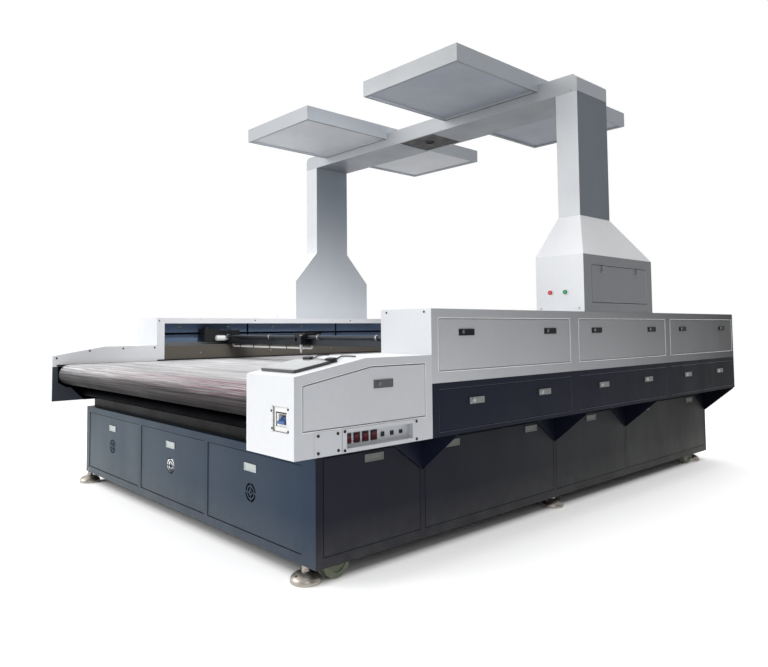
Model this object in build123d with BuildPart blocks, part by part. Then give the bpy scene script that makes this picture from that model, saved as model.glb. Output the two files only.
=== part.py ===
from build123d import *
import os
from math import atan, degrees, cos, sin, radians

os.makedirs("parts", exist_ok=True)

# ---------------------------------------------------------------- dimensions
# Millimetres. X runs across the belt, Y runs from the loading side to the
# back, Z is up. The origin is on the floor under the middle of the machine.
F = -1545.0                      # front face of the base cabinet

# base cabinet
base_x = 1100.0                  # half width
base_len = 3307.0
base_z0, base_z1 = 58.0, 437.0
wall = 3.0                       # sheet of the cabinets
ring_z1 = 486.0                  # top of the tube ring that carries the housings
door_gap = 3.0
front_door_x = ((-1053.0, -371.0), (-332.0, 312.0), (349.0, 1013.0))
front_door_z = (95.0, 402.0)
cover_y = ((36.0, 521.0), (554.0, 1472.0), (1502.0, 2188.0), (2218.0, 3286.0))
cover_z = (97.0, 433.0)
bracket_y = (537.0, 1487.0, 2203.0, 3298.0)
foot_at = ((1025.0, 14.0), (-1062.0, 8.0), (1054.0, 1523.0), (-1054.0, 1523.0),
           (1043.0, 3187.0), (-1043.0, 3187.0))
wheel_r, wheel_w, axle_r = 60.0, 38.0, 8.0
wheel_x, wheel_z = 1065.0, 63.0
caster_y = (110.0, 3060.0)
bracket_z0 = 328.0
wing_run = 1.45                  # how far the bracket's wall wing runs per unit of height
pan_d = 18.0                     # depth of a folded door pan
door_in = 3.0                    # how far the front doors are set back
cover_d = 8.0                    # depth of a side cover

# side housings, arms and channels
hx0, hx1 = 1018.0, 1286.0        # inner and outer face
hy0, hy1 = 396.0, 3317.0         # front and rear face
hz0, hz1 = 486.0, 960.0
band_z = 684.0                   # top of the dark band
slot_y = (446.0, 3270.0)
slot_z = (785.0, 925.0)
chan_x = 1150.0                  # back of the channel
upper_door_y = ((437.0, 1337.0), (1421.0, 2321.0), (2391.0, 3291.0))
upper_door_z = (729.0, 921.0)
lower_cover_z = (506.0, 657.0)
arm_y0 = -227.0
arm_bend = 68.0
arm_z1, arm_z2 = 741.0, 789.0    # top of the arm at its nose and behind the bend
slope = atan((arm_z2 - arm_z1) / (arm_bend - arm_y0))

# canopy
post_y = (1477.0, 2182.0)
post_x = (1022.0, 1284.0)
post_z1, post_z2 = 1238.0, 1461.0
neck_x = (1032.0, 1156.0)
neck_y = (1682.0, 1985.0)
beam_z = (2114.0, 2207.0)
hood_x = (256.0, 924.0)
hood_y = ((1002.0, 1682.0), (1985.0, 2655.0))
hood_z = (2166.0, 2253.0)
lip_w, lip_d = 16.0, 10.0

# conveyor
belt_x = 1004.0
belt_t = 4.0
belt_r = 51.3                    # inner radius of the loop
roller_r = 50.9
roller_z = 635.0
nose_y, drive_y = -140.0, 3255.0
journal_r, journal_fit = 12.0, 0.05

# gantry and head, drawn where the gantry stands at rest
gy = 892.0                       # front face of the beam
tube_r = 10.0
tube_z = 838.0


def block(x0, x1, y0, y1, z0, z1, mode=Mode.ADD):
    """A box between two corners, Y counted from the base's front face."""
    with Locations(((x0 + x1) / 2, F + (y0 + y1) / 2, (z0 + z1) / 2)):
        Box(abs(x1 - x0), abs(y1 - y0), abs(z1 - z0), mode=mode)


def across(x):
    """Plane facing +X at x: sketch coordinates are Y from the front, and Z."""
    return Plane(origin=(x, F, 0), x_dir=(0, 1, 0), z_dir=(1, 0, 0))


def front(y):
    """Plane facing -Y at y: sketch coordinates are X and Z."""
    return Plane(origin=(0, F + y, 0), x_dir=(1, 0, 0), z_dir=(0, -1, 0))


def save(part, name):
    part.label = name
    export_step(part, "parts/" + name + ".step")


# ------------------------------------------------------------- base cabinet
def wing_top(yb, z, gap=0.0):
    """Y of the bracket wing's free edge at height z."""
    return yb - (z - bracket_z0) * wing_run - gap


def cover_points(i, gap):
    """Outline of a side cover: a rectangle with its rear top corner cut along
    the bracket's wing."""
    y0, y1 = cover_y[i]
    z0, z1 = cover_z
    yb = bracket_y[i]
    cut = 5.0 - gap
    z_cut = bracket_z0 + (yb - y1) / wing_run
    return [(y0 - gap, z0 - gap), (y1 + gap, z0 - gap), (y1 + gap, z_cut - cut),
            (wing_top(yb, z1) - cut * 1.2, z1 + gap), (y0 - gap, z1 + gap)]


with BuildPart() as base_cabinet:
    block(-base_x, base_x, 0, base_len, base_z0, base_z1)
    block(-base_x + wall, base_x - wall, wall, base_len - wall, base_z0 - 1, base_z1 - wall,
          mode=Mode.SUBTRACT)
    # openings of the three front doors
    for x0, x1 in front_door_x:
        block(x0 - door_gap, x1 + door_gap, -1, wall + 1,
              front_door_z[0] - door_gap, front_door_z[1] + door_gap, mode=Mode.SUBTRACT)
    # openings of the four covers on the right side
    for i in range(4):
        with BuildSketch(across(base_x - wall - 1)):
            with BuildLine():
                Polyline(*cover_points(i, door_gap), close=True)
            make_face()
        extrude(amount=wall + 2, mode=Mode.SUBTRACT)
    # inner lips that the covers and doors hook on
    block(base_x - 40, base_x - wall, 20, base_len - 20, base_z0 + 4, 91)
    block(-base_x + wall, -base_x + 40, 20, base_len - 20, base_z0 + 4, 91)
    block(-base_x + wall, base_x - wall, 20.5, 30, base_z0 + 4, 90)
    # posts behind the seams
    for yb in bracket_y[:3]:
        block(base_x - 60, base_x - wall, yb - 14, yb + 14, base_z0 + 4, base_z1 - wall)
    for xp in (-351.5, 330.5):
        block(xp - 16, xp + 16, wall, 60, base_z0 + 4, base_z1 - wall)
    # ring of square tube that carries the housings and the bed
    block(-1064, 1064, 30, 3290, base_z1, ring_z1)
    block(-1000, 1000, 94, 3226, base_z1 - 1, ring_z1 + 1, mode=Mode.SUBTRACT)
    # tabs for the levelling feet and plates for the casters, inside the skirt
    for sx in (-1, 1):
        for yc in caster_y:
            block(sx * 1000, sx * (base_x - wall), yc - 60, yc + 60, 152, 160)
            block(sx * 1040, sx * (base_x - wall), yc - 66, yc + 66, base_z0 + 1, 100, mode=Mode.SUBTRACT)
    for xf, yf in foot_at:
        block(-(base_x - wall) if xf < 0 else xf - 22, (base_x - wall) if xf > 0 else xf + 22,
              max(yf - 24, wall), yf + 24, 58, 66)
    for xf, yf in foot_at:
        with Locations((xf, F + yf, 68)):
            Cylinder(8.3, 50, mode=Mode.SUBTRACT)
save(base_cabinet.part, "base_cabinet")

for i in range(4):
    with BuildPart() as side_cover:
        with BuildSketch(across(base_x - cover_d)):
            with BuildLine():
                Polyline(*cover_points(i, 0.0), close=True)
            make_face()
        extrude(amount=cover_d)
        # the pan is open at its back
        with BuildSketch(across(base_x - cover_d - 1)):
            with BuildLine():
                Polyline(*cover_points(i, 0.0), close=True)
            make_face()
            offset(amount=-2.0, mode=Mode.REPLACE)
        extrude(amount=cover_d - 1, mode=Mode.SUBTRACT)
        # hook that stands on the lower lip
        block(base_x - cover_d, base_x - wall, cover_y[i][0] + 30, cover_y[i][1] - 30, 91, 97)
    save(side_cover.part, "right_base_cover_%d" % (i + 1))

# flush pulls: one on the narrow covers, two on the wide ones
pull_y = (276.0, 720.0, 1288.0, 1836.0, 2448.0, 3060.0)
with BuildPart() as base_cover_pulls:
    for yp in pull_y:
        block(base_x, base_x + 3, yp - 47, yp + 47, 396, 424)
        block(base_x + 1.2, base_x + 3, yp - 42, yp + 42, 401, 417, mode=Mode.SUBTRACT)
save(base_cover_pulls.part, "base_cover_pulls")

with BuildPart() as corner_brackets:
    for sx in (-1, 1):
        for yb in bracket_y:
            # rib that carries the overhang
            with BuildSketch(front(yb - 2)):
                with BuildLine():
                    Polyline((sx * base_x, bracket_z0), (sx * base_x, hz0), (sx * (hx1 - 3), hz0),
                             (sx * (hx1 - 3), hz0 - 6), (sx * (base_x + 6), bracket_z0), close=True)
                make_face()
            extrude(amount=-4)
            # wing that lies on the cabinet's wall
            with BuildSketch(across(sx * base_x)):
                with BuildLine():
                    Polyline((yb + 2, bracket_z0), (yb + 2, hz0), (wing_top(yb, hz0), hz0), close=True)
                make_face()
            extrude(amount=sx * 3)
save(corner_brackets.part, "corner_brackets")

# ----------------------------------------------------------- feet and casters
with BuildPart() as levelling_feet:
    for xf, yf in foot_at:
        with BuildSketch(Plane(origin=(xf, F + yf, 0), x_dir=(1, 0, 0), z_dir=(0, -1, 0))):
            with BuildLine():
                Line((0, 0), (55, 0))
                Line((55, 0), (57, 3))
                Line((57, 3), (57, 8))
                Spline((57, 8), (49, 24), (33, 35), (16, 39), tangents=((0, 1), (-1, 0.1)))
                Polyline((16, 39), (16, 46), (8, 46), (8, 80), (0, 80), (0, 0))
            make_face()
        revolve(axis=Axis((xf, F + yf, 0), (0, 0, 1)))
        with BuildSketch(Plane(origin=(xf, F + yf, 46), x_dir=(1, 0, 0), z_dir=(0, 0, 1))):
            RegularPolygon(13.9, 6)
        extrude(amount=12)
        # two fixing holes through the dome
        with Locations((xf, F + yf - 41, 25), (xf, F + yf + 41, 25)):
            Cylinder(6, 60, mode=Mode.SUBTRACT)
save(levelling_feet.part, "levelling_feet")

with BuildPart() as caster_forks:
    for sx in (-1, 1):
        for yc in caster_y:
            block(sx * (wheel_x - 26), sx * (wheel_x + 26), yc - 45, yc + 45, 144, 152)
            for s in (-1, 1):
                xa = wheel_x + s * 21.5
                with BuildSketch(across(sx * xa)):
                    with BuildLine():
                        Polyline((yc - 32, 144), (yc + 32, 144), (yc + 15, 52), (yc - 15, 52), close=True)
                    make_face()
                extrude(amount=4 if sx * s > 0 else -4)
            with Locations((sx * wheel_x, F + yc, wheel_z)):
                Cylinder(axle_r, 51, rotation=(0, 90, 0))
save(caster_forks.part, "caster_forks")

for where, yc in zip(("front", "rear"), caster_y):
    with BuildPart() as wheels:
        for sx in (-1, 1):
            with Locations((sx * wheel_x, F + yc, wheel_z)):
                Cylinder(wheel_r, wheel_w, rotation=(0, 90, 0))
        fillet(wheels.edges().filter_by(GeomType.CIRCLE), radius=6)
        for sx in (-1, 1):
            with Locations((sx * wheel_x, F + yc, wheel_z)):
                Cylinder(axle_r + 0.06, wheel_w + 2, rotation=(0, 90, 0), mode=Mode.SUBTRACT)
            for s in (-1, 1):
                with BuildSketch(across(sx * wheel_x + s * (wheel_w / 2 - 4))):
                    with Locations((yc, wheel_z)):
                        Circle(38)
                        Circle(16, mode=Mode.SUBTRACT)
                extrude(amount=s * 5, mode=Mode.SUBTRACT)
    save(wheels.part, "caster_wheels_" + where)

# ---------------------------------------------------------------- front doors
door_names = ("left", "centre", "right")
for k in range(3):
    x0, x1 = front_door_x[k]
    z0, z1 = front_door_z
    xc = (x0 + x1) / 2
    with BuildPart() as front_door:
        block(x0, x1, door_in, pan_d, z0, z1)
        block(x0 + 2, x1 - 2, door_in + 2, pan_d + 1, z0 + 2, z1 - 2, mode=Mode.SUBTRACT)
        # round louvre: two rings of slots around a hub, kept together by ribs
        vz = 249.0
        with BuildSketch(front(-1)):
            with Locations((xc, vz)):
                Circle(37)
                Circle(28, mode=Mode.SUBTRACT)
                Circle(22)
                Circle(12, mode=Mode.SUBTRACT)
                Rectangle(80, 5, mode=Mode.SUBTRACT)
                Rectangle(5, 80, mode=Mode.SUBTRACT)
        extrude(amount=-8, mode=Mode.SUBTRACT)
        with Locations((xc, F + door_in - 1, vz)):
            Cylinder(5, 5, rotation=(90, 0, 0))
    save(front_door.part, "front_door_" + door_names[k])
    with BuildPart() as front_pull:
        block(xc - 43, xc + 43, door_in - 3, door_in, 331, 361)
        block(xc - 38, xc + 38, door_in - 3, door_in - 1.2, 335, 353, mode=Mode.SUBTRACT)
    save(front_pull.part, "front_pull_" + door_names[k])

# --------------------------------------------------------------- side housings
for side, sx in (("right", 1), ("left", -1)):
    with BuildPart() as housing:
        block(sx * hx0, sx * hx1, hy0, hy1, hz0, hz1)
        # outer compartment, from the floor of the housing to its roof
        block(sx * (chan_x + wall), sx * (hx1 - wall), hy0 + wall, hy1 - wall,
              hz0 + wall, hz1 - wall, mode=Mode.SUBTRACT)
        # lower inner compartment
        block(sx * (hx0 + wall), sx * (chan_x + wall + 1), hy0 + wall, hy1 - wall,
              hz0 + wall, slot_z[0] - wall, mode=Mode.SUBTRACT)
        # gantry channel, open towards the belt through a long slot
        block(sx * (hx0 + wall), sx * chan_x, hy0 + wall, hy1 - wall,
              slot_z[0], hz1 - wall, mode=Mode.SUBTRACT)
        block(sx * (hx0 - 1), sx * (hx0 + wall + 1), slot_y[0], slot_y[1],
              slot_z[0], slot_z[1], mode=Mode.SUBTRACT)
        if sx > 0:
            for y0, y1 in upper_door_y:
                block(hx1 - wall - 1, hx1 + 1, y0 - 4, y1 + 4,
                      upper_door_z[0] - 4, upper_door_z[1] + 4, mode=Mode.SUBTRACT)
                block(hx1 - wall - 1, hx1 + 1, y0 - door_gap, y1 + door_gap,
                      lower_cover_z[0] - door_gap, lower_cover_z[1] + door_gap, mode=Mode.SUBTRACT)
            # lip that the lower covers hook on
            block(hx1 - 30, hx1 - wall, hy0 + 20, hy1 - 20, hz0 + wall, 500)
        # cradles of the discharge tube stand in the right housing only
        if sx > 0:
            for yc in (760.0, 1400.0, 2040.0):
                block(chan_x + wall, chan_x + 110, yc - 14, yc + 14, 780, 800)
                block(chan_x + 50, chan_x + 84, yc - 14, yc + 14, 800, 812)
    save(housing.part, "housing_" + side)

# bottom-hinged doors of the optics compartment and their lock pairs
for k, where in enumerate(("front", "middle", "rear")):
    y0, y1 = upper_door_y[k]
    z0, z1 = upper_door_z
    yc = (y0 + y1) / 2
    with BuildPart() as upper_door:
        block(hx1 - pan_d, hx1, y0, y1, z0, z1)
        block(hx1 - pan_d - 1, hx1 - 2, y0 + 2, y1 - 2, z0 + 2, z1 - 2, mode=Mode.SUBTRACT)
    save(upper_door.part, "upper_door_" + where)
    with BuildPart() as upper_locks:
        for s in (-1, 1):
            block(hx1, hx1 + 3, yc + s * 290 - 46, yc + s * 290 + 46, 858, 883)
            with Locations((hx1 + 4, F + yc + s * 290 - 26, 872)):
                Cylinder(7.5, 6, rotation=(0, 90, 0))
    save(upper_locks.part, "upper_locks_" + where)

with BuildPart() as lower_covers:
    for y0, y1 in upper_door_y:
        block(hx1 - 12, hx1, y0, y1, lower_cover_z[0], lower_cover_z[1])
        block(hx1 - 13, hx1 - 2, y0 + 2, y1 - 2, lower_cover_z[0] + 2, lower_cover_z[1] - 2, mode=Mode.SUBTRACT)
    for y0, y1 in upper_door_y:
        block(hx1 - 12, hx1 - 3, y0 + 40, y1 - 40, 500, 508)
save(lower_covers.part, "lower_covers")

with BuildPart() as lower_cover_locks:
    for y0, y1 in upper_door_y:
        yc = (y0 + y1) / 2
        for s in (-1, 1):
            block(hx1, hx1 + 4, yc + s * 235 - 45, yc + s * 235 + 45, 594, 619)
            with Locations((hx1 + 5, F + yc + s * 235 - 22, 606.5)):
                Cylinder(8, 6, rotation=(0, 90, 0))
save(lower_cover_locks.part, "lower_cover_locks")

# -------------------------------------------------------------------- the arms
arm_outline = [(arm_y0, hz0), (hy0, hz0), (hy0, arm_z2), (arm_bend, arm_z2), (arm_y0, arm_z1)]
arm_inner = [(arm_y0 + wall, hz0 + wall), (hy0 - wall, hz0 + wall), (hy0 - wall, arm_z2 - wall),
             (arm_bend, arm_z2 - wall), (arm_y0 + wall, arm_z1 - wall)]
cdoor = [(-192.0, 572.0), (357.0, 572.0), (357.0, 757.0), (95.0, 757.0), (-192.0, 709.0)]
with BuildPart() as console_arm:
    with BuildSketch(across(hx0)):
        with BuildLine():
            Polyline(*arm_outline, close=True)
        make_face()
    extrude(amount=hx1 - hx0)
    with BuildSketch(across(hx0 + wall)):
        with BuildLine():
            Polyline(*arm_inner, close=True)
        make_face()
    extrude(amount=hx1 - hx0 - 2 * wall, mode=Mode.SUBTRACT)
    # door opening
    with BuildSketch(across(hx1 - wall - 1)):
        with BuildLine():
            Polyline(*cdoor, close=True)
        make_face()
        offset(amount=3.5, kind=Kind.INTERSECTION, mode=Mode.REPLACE)
    extrude(amount=wall + 2, mode=Mode.SUBTRACT)
    # cut-outs of the switch tray and the breaker window
    block(hx1 - wall - 1, hx1 + 1, -22, 294, 496, 556, mode=Mode.SUBTRACT)
    block(1172, 1250, arm_y0 - 1, arm_y0 + wall + 1, 566, 645, mode=Mode.SUBTRACT)
    # hinge blocks of the lid, bored for its pin
    slope_plane = Plane(origin=(0, F + arm_y0, arm_z1), x_dir=(1, 0, 0), z_dir=(0, -sin(slope), cos(slope)))
    with BuildSketch(slope_plane):
        with Locations((1087.5, 210.0), (1213.5, 210.0)):
            Rectangle(37, 20)
    extrude(amount=16)
    pin_plane = Plane(origin=slope_plane.from_local_coords(Vector(1060, 210, 9)), x_dir=(0, 1, 0), z_dir=(1, 0, 0))
    with BuildSketch(pin_plane):
        Circle(3.06)
    extrude(amount=180, mode=Mode.SUBTRACT)
save(console_arm.part, "console_arm_right")
print("lid pin", tuple(slope_plane.from_local_coords(Vector(1150, 210, 9))))

with BuildPart() as conveyor_arm:
    with BuildSketch(across(-hx1)):
        with BuildLine():
            Polyline(*arm_outline, close=True)
        make_face()
    extrude(amount=hx1 - hx0)
    with BuildSketch(across(-hx1 + wall)):
        with BuildLine():
            Polyline(*arm_inner, close=True)
        make_face()
    extrude(amount=hx1 - hx0 - 2 * wall, mode=Mode.SUBTRACT)
save(conveyor_arm.part, "conveyor_arm_left")

with BuildPart() as console_door:
    with BuildSketch(across(hx1 - 12)):
        with BuildLine():
            Polyline(*cdoor, close=True)
        make_face()
    extrude(amount=12)
    with BuildSketch(across(hx1 - 13)):
        with BuildLine():
            Polyline(*cdoor, close=True)
        make_face()
        offset(amount=-2.0, kind=Kind.INTERSECTION, mode=Mode.REPLACE)
    extrude(amount=11, mode=Mode.SUBTRACT)
    # lock plate near the upper edge
    block(hx1, hx1 + 3, 104, 194, 686, 714)
    with Locations((hx1 + 4, F + 128, 700)):
        Cylinder(7.5, 6, rotation=(0, 90, 0))
save(console_door.part, "console_door")

with BuildPart() as console_lid:
    with BuildSketch(slope_plane.offset(0.6)):
        with Locations((1138.0, 117.0)):
            RectangleRounded(192, 152, 6)
    extrude(amount=10)
    with BuildSketch(slope_plane.offset(4)):
        with Locations((1150.5, 200)):
            Rectangle(84, 20)
    extrude(amount=7)
    with BuildSketch(Plane(origin=slope_plane.from_local_coords(Vector(1066, 210, 9)), x_dir=(0, 1, 0), z_dir=(1, 0, 0))):
        Circle(3.0)
    extrude(amount=169)
save(console_lid.part, "console_lid")

# recessed tray with the rocker switches and sockets
rocker_y = (8.5, 47.0, 85.5, 124.0)
rocker_z = 526.5
tray_x = hx1 - 24.0
with BuildPart() as switch_tray:
    block(hx1, hx1 + 3, -36, 318, 488.5, 564)
    block(tray_x - 3, hx1, -21, 293, 497, 555)
    block(tray_x, hx1 + 4, -18, 290, 500, 552, mode=Mode.SUBTRACT)
    for yr in rocker_y:
        block(tray_x - 4, tray_x + 1, yr - 12, yr + 12, rocker_z - 14.5, rocker_z + 14.5, mode=Mode.SUBTRACT)
    for ys in (165.0, 210.0, 254.0):
        block(tray_x - 4, tray_x + 1, ys - 8, ys + 8, 518, 532, mode=Mode.SUBTRACT)
save(switch_tray.part, "switch_tray")

for k in range(4):
    with BuildPart() as rocker:
        with BuildSketch(front(rocker_y[k] - 11)):
            with BuildLine():
                Polyline((tray_x - 8, rocker_z - 10), (tray_x + 3.0, rocker_z - 12.5), (tray_x + 5.0, rocker_z - 11.5),
                         (tray_x + 2.6, rocker_z), (tray_x + 5.0, rocker_z + 11.5), (tray_x + 3.0, rocker_z + 12.5),
                         (tray_x - 8, rocker_z + 10), close=True)
            make_face()
        extrude(amount=-22)
    save(rocker.part, "rocker_switch_%d" % (k + 1))

# circuit breaker behind the window in the arm's nose
with BuildPart() as breaker_block:
    block(1182, 1240, -205, -140, 568, 643)
    block(1182, 1240, -218, -205, 583, 628)
    block(1192, 1233, -219, -192, 590, 622, mode=Mode.SUBTRACT)
    # rail that carries it, fixed to the arm's inner wall
    block(hx0 + wall, 1240, -140, -134, 588, 623)
    block(hx0 + wall, hx0 + wall + 4, -190, -100, 570, 640)
save(breaker_block.part, "breaker_block")

with BuildPart() as breaker_lever:
    with Locations((1212.5, F - 203, 606)):
        Cylinder(6, 37, rotation=(0, 90, 0))
    with BuildSketch(across(1194)):
        with BuildLine():
            Polyline((-203, 610), (-224, 600), (-226, 593), (-221, 590.5), (-203, 600), close=True)
        make_face()
    extrude(amount=37)
save(breaker_lever.part, "breaker_lever")

with BuildPart() as control_unit:
    block(hx0 + wall, hx0 + wall + 4, -96, 330, 500, 700)
    block(hx0 + wall + 4, 1120, -90, 90, 590, 690)
    block(hx0 + wall + 4, 1095, 120, 310, 560, 690)
save(control_unit.part, "control_unit")

# ---------------------------------------------------------------- canopy posts
pxc, pyc = (post_x[0] + post_x[1]) / 2, (post_y[0] + post_y[1]) / 2
nxc, nyc = (neck_x[0] + neck_x[1]) / 2, (neck_y[0] + neck_y[1]) / 2
post_door_y = (1553.0, 2113.0)
post_door_z = (1007.0, 1187.0)
for side, sx in (("right", 1), ("left", -1)):
    with BuildPart() as post:
        for g, m in ((0.0, Mode.ADD), (wall, Mode.SUBTRACT)):
            block(sx * (post_x[0] + g), sx * (post_x[1] - g), post_y[0] + g, post_y[1] - g, hz1 + g, post_z1, mode=m)
            with BuildSketch(Plane.XY.offset(post_z1)):
                with Locations((sx * pxc, F + pyc)):
                    Rectangle(post_x[1] - post_x[0] - 2 * g, post_y[1] - post_y[0] - 2 * g)
            with BuildSketch(Plane.XY.offset(post_z2)):
                with Locations((sx * nxc, F + nyc)):
                    Rectangle(neck_x[1] - neck_x[0] - 2 * g, neck_y[1] - neck_y[0] - 2 * g)
            loft(mode=m)
            block(sx * (neck_x[0] + g), sx * (neck_x[1] - g), neck_y[0] + g, neck_y[1] - g, post_z2, beam_z[0] - g, mode=m)
        if sx > 0:
            block(post_x[1] - wall - 1, post_x[1] + 1, post_door_y[0] - door_gap, post_door_y[1] + door_gap,
                  post_door_z[0] - door_gap, post_door_z[1] + door_gap, mode=Mode.SUBTRACT)
            with Locations((1103, F + post_y[0], 1057), (1185, F + post_y[0], 1057)):
                Cylinder(11.06, 20, rotation=(90, 0, 0), mode=Mode.SUBTRACT)
    save(post.part, "camera_post_" + side)

with BuildPart() as post_door:
    block(post_x[1] - 14, post_x[1], post_door_y[0], post_door_y[1], post_door_z[0], post_door_z[1])
    block(post_x[1] - 15, post_x[1] - 2, post_door_y[0] + 2, post_door_y[1] - 2,
          post_door_z[0] + 2, post_door_z[1] - 2, mode=Mode.SUBTRACT)
    for yl in (1653.0, 2010.0):
        block(post_x[1], post_x[1] + 3, yl - 20, yl + 20, 1152, 1184)
        block(post_x[1] + 3, post_x[1] + 8, yl - 9, yl + 9, 1158, 1180)
save(post_door.part, "post_door")

for name, xb in (("stop_button", 1103.0), ("run_button", 1185.0)):
    with BuildPart() as button:
        with BuildSketch(Plane(origin=(xb, F + post_y[0] + 14, 1057), x_dir=(1, 0, 0), z_dir=(0, -1, 0))):
            Circle(11.0)
        extrude(amount=24)
        fillet(button.faces().sort_by(Axis.Y)[0].edges(), radius=2.5)
    save(button.part, name)

with BuildPart() as canopy_beam:
    with BuildSketch(front(neck_y[0])):
        with BuildLine():
            Polyline((-1157, beam_z[0]), (1157, beam_z[0]), (1157, beam_z[1] - 20), (1135, beam_z[1]),
                     (-1135, beam_z[1]), (-1157, beam_z[1] - 20), close=True)
        make_face()
    extrude(amount=-(neck_y[1] - neck_y[0]))
    with BuildSketch(front(neck_y[0] + wall)):
        with BuildLine():
            Polyline((-1154, beam_z[0] + wall), (1154, beam_z[0] + wall), (1154, beam_z[1] - 21), (1134, beam_z[1] - wall),
                     (-1134, beam_z[1] - wall), (-1154, beam_z[1] - 21), close=True)
        make_face()
    extrude(amount=-(neck_y[1] - neck_y[0] - 2 * wall), mode=Mode.SUBTRACT)
    # camera window
    block(-156, 144, 1696, 1971, beam_z[0] - 1, beam_z[0] + wall + 1, mode=Mode.SUBTRACT)
save(canopy_beam.part, "canopy_beam")

with BuildPart() as camera_unit:
    block(-168, 156, 1688, 1979, beam_z[0] + wall, beam_z[0] + wall + 3)
    block(-51, 39, 1788, 1878, beam_z[0] + wall + 3, beam_z[1] - 20)
    with Locations((-6, F + 1833, beam_z[0] + 4)):
        Cylinder(32, 8)
        Cylinder(24, 20, align=(Align.CENTER, Align.CENTER, Align.CENTER), mode=Mode.SUBTRACT)
    with Locations((-6, F + 1833, beam_z[0] + 9)):
        Cylinder(24, 8)
save(camera_unit.part, "camera_unit")

with BuildPart() as light_hoods:
    for sx in (-1, 1):
        x0, x1 = hood_x
        for y0, y1 in hood_y:
            block(sx * x0, sx * x1, y0, y1, hood_z[0], hood_z[1])
        block(sx * x0, sx * x1, hood_y[0][1], hood_y[1][0], beam_z[1], hood_z[1])
        for y0, y1 in hood_y:
            block(sx * (x0 + wall), sx * (x1 - wall), y0 + wall, y1 - wall,
                  hood_z[0] + lip_d, hood_z[1] - wall, mode=Mode.SUBTRACT)
            block(sx * (x0 + lip_w), sx * (x1 - lip_w), y0 + lip_w, y1 - lip_w,
                  hood_z[0] - 1, hood_z[0] + lip_d + 1, mode=Mode.SUBTRACT)
        block(sx * (x0 + wall), sx * (x1 - wall), hood_y[0][1] - wall - 1, hood_y[1][0] + wall + 1,
              beam_z[1] + wall, hood_z[1] - wall, mode=Mode.SUBTRACT)
save(light_hoods.part, "light_hoods")

with BuildPart() as light_diffusers:
    for sx in (-1, 1):
        for y0, y1 in hood_y:
            block(sx * (hood_x[0] + 6), sx * (hood_x[1] - 6), y0 + 6, y1 - 6, hood_z[0] + lip_d, hood_z[0] + lip_d + 5)
save(light_diffusers.part, "light_diffusers")

# ------------------------------------------------------------------- conveyor
# closed suction box inside the belt loop
with BuildPart() as suction_box:
    block(-1008, 1008, -70, 3188, 600, 686)
    block(-1004, 1004, -66, 3184, 603, 682, mode=Mode.SUBTRACT)
bed_pieces = [suction_box.part]
# side plates with the roller bearings, standing on the ring
for s in (-1, 1):
    with BuildPart() as bearing_plate:
        with BuildSketch(across(s * 1008)):
            with BuildLine():
                Polyline((-196, 682), (-196, 590), (-150, 562), (-128, 561), (-52, ring_z1), (3270, ring_z1),
                         (3300, 560), (3300, 682), close=True)
            make_face()
        extrude(amount=s * 8)
        for yr in (nose_y, drive_y):
            with Locations((0, F + yr, roller_z)):
                Cylinder(journal_r + journal_fit, 2100, rotation=(0, 90, 0), mode=Mode.SUBTRACT)
    bed_pieces.append(bearing_plate.part)
# cross tubes between the side plates, under the belt
for yc, zc in ((-41.0, 531.0), (1500.0, 530.0), (2900.0, 530.0)):
    with BuildPart() as cross_tube:
        with Locations((0, F + yc, zc)):
            Cylinder(22, 2016, rotation=(0, 90, 0))
            Cylinder(19, 2018, rotation=(0, 90, 0), mode=Mode.SUBTRACT)
    bed_pieces.append(cross_tube.part)
save(Compound([piece.solid() for piece in bed_pieces]), "conveyor_bed")


with BuildPart() as conveyor_belt:
    for r, reach, m in ((belt_r + belt_t, belt_x, Mode.ADD), (belt_r, belt_x + 1, Mode.SUBTRACT)):
        with BuildSketch(across(-reach)):
            with BuildLine():
                Line((nose_y, roller_z + r), (drive_y, roller_z + r))
                ThreePointArc((drive_y, roller_z + r), (drive_y + r, roller_z), (drive_y, roller_z - r))
                Line((drive_y, roller_z - r), (nose_y, roller_z - r))
                ThreePointArc((nose_y, roller_z - r), (nose_y - r, roller_z), (nose_y, roller_z + r))
            make_face()
        extrude(amount=2 * reach, mode=m)
save(conveyor_belt.part, "conveyor_belt")

for name, yr in (("nose_roller", nose_y), ("drive_roller", drive_y)):
    with BuildPart() as roller:
        with Locations((0, F + yr, roller_z)):
            Cylinder(roller_r, 1996, rotation=(0, 90, 0))
            Cylinder(journal_r, 2030, rotation=(0, 90, 0))
        for s in (-1, 1):
            with BuildSketch(across(s * 999)):
                with Locations((yr, roller_z)):
                    Circle(roller_r - 6)
                    Circle(24, mode=Mode.SUBTRACT)
            extrude(amount=-s * 40, mode=Mode.SUBTRACT)
    save(roller.part, name)

# --------------------------------------------------------------------- gantry
with BuildPart() as gantry_rails:
    for s in (-1, 1):
        block(s * 1082, s * 1102, 460, 3256, slot_z[0], slot_z[0] + 18)
save(gantry_rails.part, "gantry_rails")

rail_top = slot_z[0] + 18
with BuildPart() as gantry_beam:
    block(-1046, 1046, gy, gy + 100, 789, 843)
    block(-1047, 1047, gy + 3, gy + 97, 792, 840, mode=Mode.SUBTRACT)
    # trucks at both ends, running on the rails in the channels
    for s in (-1, 1):
        block(s * 1046, s * 1136, gy - 40, gy + 120, rail_top + 0.05, 880)
        block(s * 1052, s * 1137, gy - 30, gy + 110, 822, 874, mode=Mode.SUBTRACT)
        block(s * 1046, s * 1136, gy - 40, gy - 34, rail_top + 0.05, 880)
    # bright tube along the front face, on short feet
    with Locations((0, F + gy - 12, tube_z)):
        Cylinder(tube_r, 1976, rotation=(0, 90, 0))
    for xf in (-960, -480, 0, 480, 960):
        block(xf - 8, xf + 8, gy - 10, gy, tube_z - 10, tube_z - 2)
save(gantry_beam.part, "gantry_beam")

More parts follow.
